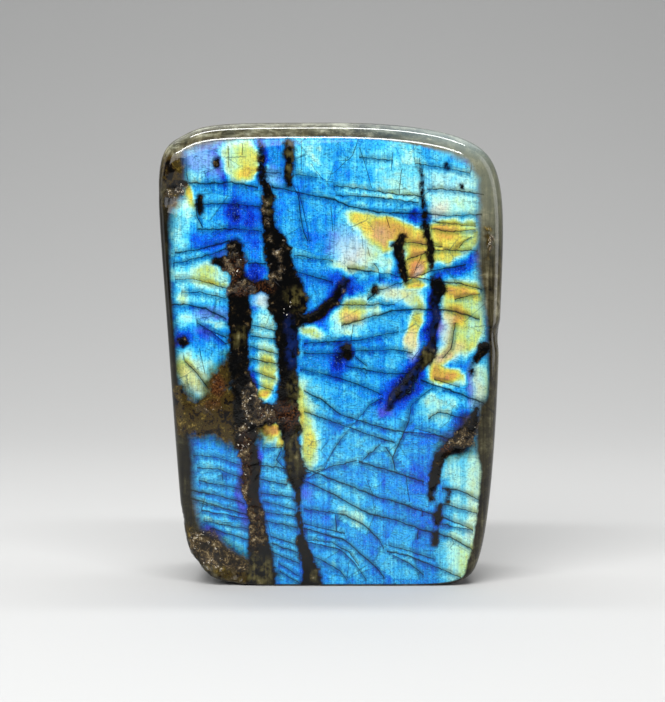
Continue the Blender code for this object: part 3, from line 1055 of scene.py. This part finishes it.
# %% Colours of the flash
# Each stop has its order and its screen colour.
FLASH = (
    (0.00, 2, 4, 16), (0.10, 4, 14, 76), (0.20, 6, 52, 196), (0.31, 10, 98, 224), (0.42, 26, 148, 228),
    (0.50, 58, 184, 238), (0.58, 108, 218, 242), (0.66, 180, 240, 220), (0.74, 190, 218, 128),
    (0.82, 222, 210, 84), (0.90, 212, 170, 74), (0.97, 206, 140, 82),
)
MILK = (190, 204, 232)
CREAM = (222, 208, 186)
VIOLET = (92, 80, 206)
SLATE = (96, 130, 150)
TWIN_BLUE = (60, 130, 170)
SPECK_BLUE = (50, 120, 150)
SPARK = (170, 236, 250)
COPPER = (196, 136, 84)
CRACK_SHADE = (16, 90, 120)
HAIRLINE = (8, 50, 72)
JOINT = (6, 60, 74)
CRACK = (2, 16, 24)
print("colours of the flash:", len(FLASH))

# %% Colour the flash
calm = stored["order"].step(0.50, 0.66)
unrest = block.swing(0.09) + twin.swing(0.16) + broad_twin.swing(0.20)
unrest = unrest + slow.swing(0.25) + medium.swing(0.30) + fine.swing(0.12)
flash = coat(
    ramp(stored["order"] + unrest * (1 - calm * 0.55) - shade * 0.04, FLASH),
    (stored["milky"] * 0.7, MILK),
    (stored["cream"] * (0.5 + medium * 0.6), CREAM),
    (stored["violet"] * (0.4 + twin * 0.6), VIOLET),
    (block_light * 0.22, SLATE, "MULTIPLY"),
    (twin.step(0.58, 0.36) * 0.25, TWIN_BLUE, "MULTIPLY"),
    (fine.step(0.50, 0.36) * (0.48 - calm * 0.26), SPECK_BLUE, "MULTIPLY"),
    (grain.step(0.60, 0.74) * (0.3 - calm * 0.2), SPARK),
    (calm * fine.step(0.50, 0.34) * 0.3, COPPER, "MULTIPLY"),
    (shade.size().step(0.15, 0.95) * 0.55, CRACK_SHADE, "MULTIPLY"),
    (hairlines * (0.55 - calm * 0.25), HAIRLINE),
    (joint_line * 0.6, JOINT),
    (cracks * 0.92, CRACK),
)
print("nodes so far:", len(finish.nodes))

# %% [markdown]
# ## The body of the stone
# Where nothing flashes the feldspar is dark olive with paler streaks: at the rims, on the sides
# and over most of the back. Painted shade darkens the left side. A pale veil lies over the
# surfaces that face up: partly the stone's whitish translucency, partly painted top light.
# One even colour would look like plastic, so three noises together pick it from a ramp. The
# flash covers it inside its noted edge, which is blurred where the rim turns away.

# %% Colours of the body
BODY = (
    (0.40, 20, 18, 12), (0.46, 46, 41, 27), (0.52, 70, 64, 44), (0.57, 98, 92, 68), (0.64, 150, 144, 118),
)
PALE_VEIL_AND_TOP_LIGHT = ((0.36, 46, 46, 35), (0.52, 84, 86, 70), (0.70, 150, 154, 138))
LEFT_SIDE_PAINTED_SHADE = (84, 86, 66)
RIGHT_SHADE = (130, 134, 108)
GREY_AND_REFLECTION_ON_SHOULDER = (132, 138, 120)
TOP_BLUE = (86, 124, 150)
GRIT = (34, 28, 18)
PALE_FLECK_AND_TOP_REFLECTION = (186, 186, 166)
BODY_CRACK = (12, 11, 8)
BACK_SHADE = (56, 53, 40)
print("colours of the body:", len(BODY))

# %% Colour the body
# Painted shade: the body colour is darkened down the left side.
painted_shade_on_left = x.step(-28, -36) * z.step(108, 92)
body = ramp(streaks * 0.4 + slow * 0.3 + wisps * 0.3, BODY)
body = coat(body, (painted_shade_on_left * 0.9, LEFT_SIDE_PAINTED_SHADE, "MULTIPLY"))
# Surfaces that face up get a pale veil and pale flecks: partly the stone's whitish translucency, partly
# painted top light and reflection.
top = stored["rising"].step(0.25, 0.85)
body = coat(
    blend(top * 0.75, body, ramp(wisps, PALE_VEIL_AND_TOP_LIGHT)),
    (x.step(28, 38) * z.step(76, 40) * 0.7, RIGHT_SHADE, "MULTIPLY"),
    # Paler grey over the upper right shoulder: partly the stone's grey translucency, partly a painted
    # reflection.
    (x.step(8, 36) * z.step(78, 106) * 0.5, GREY_AND_REFLECTION_ON_SHOULDER),
    (top * x.step(-10, 30) * y.step(-4, -14) * 0.25, TOP_BLUE),
    (grain.step(0.40, 0.28) * 0.5, GRIT),
    (top * shreds.step(0.54, 0.70) * 0.35, PALE_FLECK_AND_TOP_REFLECTION),
    (cracks * 0.7, BODY_CRACK),
    (facing.step(-0.5, -0.95) * 0.5, BACK_SHADE),
)
print("nodes so far:", len(finish.nodes))

# %% Lay the flash over the body
blurred = x.step(-18, -32).most(x.step(20, 34) * z.step(14, 44))
flash_edge = (stored["flashing"] + medium.swing(1.0) + streaks.swing(0.6)) * (1 - blurred * 0.75)
front_share = flash_edge.step(-0.35, 0.5) * facing.step(0.80, 0.93)
back_share = facing.step(-0.95, -0.995) * (slow + medium.swing(0.15)).step(0.48, 0.60) * 0.75
colour = blend(front_share.most(back_share), body, flash)
print("nodes so far:", len(finish.nodes))

# %% [markdown]
# ## The fields, seams and grains
# The olive fields are cloudy at their edges, and the flash sinks into them before it ends. The
# seams are black, with olive glass, rust and dark blue where their patches say so, and the flash
# darkens to navy beside them. Grains are broken surfaces: brown crumbs between black pits, with
# a few bright glints painted in as highlights. Each could be a mesh of its own, but then its edge
# would show as a step. As a mask on the one surface, its edge is as ragged as the noise makes it.

# %% Colour the fields
EARTH = (
    (0.38, 3, 2, 1), (0.44, 24, 16, 5), (0.49, 62, 48, 15), (0.53, 40, 34, 12), (0.58, 76, 62, 22),
    (0.64, 106, 88, 38), (0.71, 160, 142, 90),
)
RUST = ((0.38, 14, 6, 3), (0.50, 62, 30, 14), (0.62, 112, 70, 36))
FIELD_SHADE = (112, 104, 60)

field_edge = stored["olive"] + medium.swing(3.8) + fine.swing(1.4)
field_mask = field_edge.step(-1.1, 0.9) * facing.size().step(0.3, 0.8)
earth = ramp(veins * 0.75 + fine * 0.25, EARTH)
rust = ramp(fine * 0.6 + grain * 0.4, RUST)
sinking = field_edge.step(-3.2, -0.4) * front_share
colour = coat(colour, (sinking * 0.75, FIELD_SHADE, "MULTIPLY"))
colour = blend(field_mask, colour, blend(stored["rust"] * 0.8, earth, rust))
print("nodes so far:", len(finish.nodes))

# %% Colour the seams
DARK = ((0.50, 1, 1, 1), (0.57, 8, 6, 3), (0.63, 38, 28, 12), (0.70, 84, 68, 36))
OLIVE_GLASS = ((0.38, 18, 16, 7), (0.50, 58, 52, 25), (0.60, 92, 86, 50), (0.70, 136, 130, 92))
NAVY_HALO = (6, 26, 70)
INK = (6, 26, 74)

ragged = stored["seam"] + medium.swing(2.0) + fine.swing(1.3)
seam_mask = ragged.step(-0.28, 0.22)
halo = ragged.step(-1.4, 0.0) * front_share
colour = coat(colour, (halo * halo * 0.85, NAVY_HALO, "MULTIPLY"))
dark = ramp(fine * 0.4 + medium * 0.6, DARK)
glass_share = stored["glass"] * (medium * 0.7 + streaks * 0.3).step(0.40, 0.50)
dark = blend(glass_share * 0.95, dark, ramp(medium * 0.6 + streaks * 0.4, OLIVE_GLASS))
dark = blend(stored["rust"] * fine.step(0.38, 0.58) * 0.85, dark, rust)
dark = coat(dark, (stored["ink"] * medium.step(0.38, 0.56), INK))
colour = blend(seam_mask, colour, dark)
print("nodes so far:", len(finish.nodes))

# %% Add the grains and painted glints
CRUMBS = (
    (0.43, 2, 1, 1), (0.49, 30, 22, 11), (0.54, 74, 58, 33), (0.59, 128, 110, 76), (0.66, 220, 210, 186),
)
PAINTED_GLINT = (222, 214, 198)
GLINTS_PER_MM = 2.2

graininess = (stored["grains"] + chip.step(0.4, 1.3) * 0.35 + medium.swing(2.0)).step(0.25, 0.95)
crumbs = ramp(shreds * 0.50 + medium * 0.30 + grain * 0.20, CRUMBS)
broken = graininess * seam_mask.most(field_mask).most(chip.step(0.1, 0.4))
grid = {"Vector": where, "Scale": GLINTS_PER_MM}
chance, _, _ = parts(add_node(finish, "ShaderNodeTexVoronoi", output="Color", inputs=grid))
# Painted glints: bright highlight specks mixed into the colour of the seams, grains and fields.
painted_highlight_odds = chance - 0.012 + stored["painted_highlight_patches"] * 0.2 + stored["grains"] * 0.014
painted_glint = painted_highlight_odds.step(0.985, 1.0) * grain.step(0.50, 0.62) * seam_mask.most(broken).most(field_mask * 0.7)
colour = coat(blend(broken * 0.85, colour, crumbs), (painted_glint, PAINTED_GLINT))
print("nodes so far:", len(finish.nodes))

# %% [markdown]
# ## Gloss and relief
# The wheel leaves the faces almost like glass, and they mirror the lights. The polish is the
# stone's own, so it is a low roughness and not a coat of varnish. Only the broken grains, the
# chips and the sawn foot stay dull. A weak bump roughens the grains beyond what the mesh shows.

# %% Set the gloss
POLISH = 0.05
FELDSPAR_IOR = 1.56
SPECULAR_LEVEL = 0.28
BUMP_STRENGTH = 0.5
BUMP_DISTANCE = 0.00035

dull = broken * (0.2 + grain * 0.3) + chip.step(0.1, 0.6) * 0.2 + z.step(0.25, 0.05) * 0.4
relief = seam_mask * fine * 0.12 + broken * (shreds + fine) * 0.7
heights = {"Height": relief, "Strength": BUMP_STRENGTH, "Distance": BUMP_DISTANCE}
surface = {
    "Base Color": colour,
    "Roughness": dull + POLISH + fine * 0.03,
    "IOR": FELDSPAR_IOR,
    "Specular IOR Level": SPECULAR_LEVEL,
    "Normal": add_node(finish, "ShaderNodeBump", inputs=heights),
}
for name, value in surface.items():
    plug(value, shader.inputs[name])
print("nodes in the finish:", len(finish.nodes))

# %% [markdown]
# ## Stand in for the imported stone
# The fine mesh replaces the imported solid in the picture, and rides on the same body.

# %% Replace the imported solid
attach(stone, "root")
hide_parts(NODE)
print("the stone rides on root")

# %% [markdown]
# ## Floor and light
# A pale seamless sweep shows the stone plainly. A polished stone shows its lights, so they are
# chosen for their reflections: a broad soft light in front for the flash, one on each side for
# the rims, and two narrow strips above, whose reflections run along the rounded top as two
# thin bright lines.

# %% Lay the sweep
SWEEP_WIDTH = 3.0
SWEEP_FRONT = -0.9
SWEEP_BACK = 0.3
SWEEP_RADIUS = 0.9
SWEEP_HEIGHT = 1.6
SWEEP_STEPS = 24
PAPER_COLOUR = (0.42, 0.42, 0.415, 1)
PAPER_ROUGHNESS = 0.9


def lay_sweep():
    """A floor that rises in a curve behind the stone."""
    profile = [(SWEEP_FRONT, 0)]
    for step in range(SWEEP_STEPS + 1):
        turn = math.pi / 2 * step / SWEEP_STEPS
        profile.append((SWEEP_BACK + SWEEP_RADIUS * math.sin(turn), SWEEP_RADIUS * (1 - math.cos(turn))))
    profile.append((SWEEP_BACK + SWEEP_RADIUS, SWEEP_HEIGHT))
    points = [(side * SWEEP_WIDTH / 2, y, z) for side in (-1, 1) for y, z in profile]
    count = len(profile)
    faces = [(n, n + count, n + count + 1, n + 1) for n in range(count - 1)]
    mesh = bpy.data.meshes.new("sweep")
    mesh.from_pydata(points, [], faces)
    mesh.shade_smooth()
    material = bpy.data.materials.new("pale paper")
    material.use_nodes = True
    paper = material.node_tree.nodes["Principled BSDF"]
    paper.inputs["Base Color"].default_value = PAPER_COLOUR
    paper.inputs["Roughness"].default_value = PAPER_ROUGHNESS
    mesh.materials.append(material)
    sweep = bpy.data.objects.new("sweep", mesh)
    bpy.context.scene.collection.objects.link(sweep)
    return sweep


lay_sweep()
print("sweep reaches", SWEEP_BACK + SWEEP_RADIUS, "m behind the stone")

# %% Hang the lights
AIM = Vector((0, 0, 0.065))
ROOM_COLOUR = (0.9, 0.95, 1.0, 1)
ROOM_STRENGTH = 0.12
# Each light has its direction as azimuth and elevation, distance, width, height and power.
LIGHTS = {
    "front soft box": (-30, 35, 0.9, 0.8, 0.5, 5.8),
    "left soft box": (-100, 15, 0.8, 0.30, 0.8, 0.6),
    "right soft box": (95, 18, 0.8, 0.30, 0.8, 2.0),
    "front strip": (-5, 58, 0.7, 0.7, 0.06, 5.6),
    "top strip": (180, 76, 0.7, 0.7, 0.06, 3.4),
    "back wash": (180, 50, 1.4, 1.6, 0.8, 5.0),
}


def hang_light(name, azimuth, elevation, distance, width, height, power):
    data = bpy.data.lights.new(name, "AREA")
    data.shape = "RECTANGLE"
    data.size = width
    data.size_y = height
    data.energy = power
    light = bpy.data.objects.new(name, data)
    a, e = math.radians(azimuth), math.radians(elevation)
    way = Vector((math.sin(a) * math.cos(e), -math.cos(a) * math.cos(e), math.sin(e)))
    light.location = AIM + way * distance
    light.rotation_euler = (-way).to_track_quat("-Z", "Y").to_euler()
    bpy.context.scene.collection.objects.link(light)


for name, values in LIGHTS.items():
    hang_light(name, *values)
world = bpy.data.worlds.new("studio")
world.use_nodes = True
room = world.node_tree.nodes["Background"]
room.inputs["Color"].default_value = ROOM_COLOUR
room.inputs["Strength"].default_value = ROOM_STRENGTH
bpy.context.scene.world = world
bpy.context.scene.view_settings.view_transform = "Standard"
print("lights:", len(LIGHTS))

# %% [markdown]
# ## Camera
# The photograph looks at the stone almost squarely, from a little above, with a long lens.

# %% Set the camera
LENS = 100
CAMERA_DISTANCE = 0.5205
CAMERA_ELEVATION = 4.0
LOOK_AT = Vector((0.0003, 0, 0.0598))


def set_camera():
    data = bpy.data.cameras.new("camera")
    data.lens = LENS
    camera = bpy.data.objects.new("camera", data)
    e = math.radians(CAMERA_ELEVATION)
    camera.location = LOOK_AT + Vector((0, -math.cos(e), math.sin(e))) * CAMERA_DISTANCE
    camera.rotation_euler = (math.pi / 2 - e, 0, 0)
    bpy.context.scene.collection.objects.link(camera)
    bpy.context.scene.camera = camera


set_camera()
print("camera:", LENS, "mm lens at", CAMERA_DISTANCE, "m")
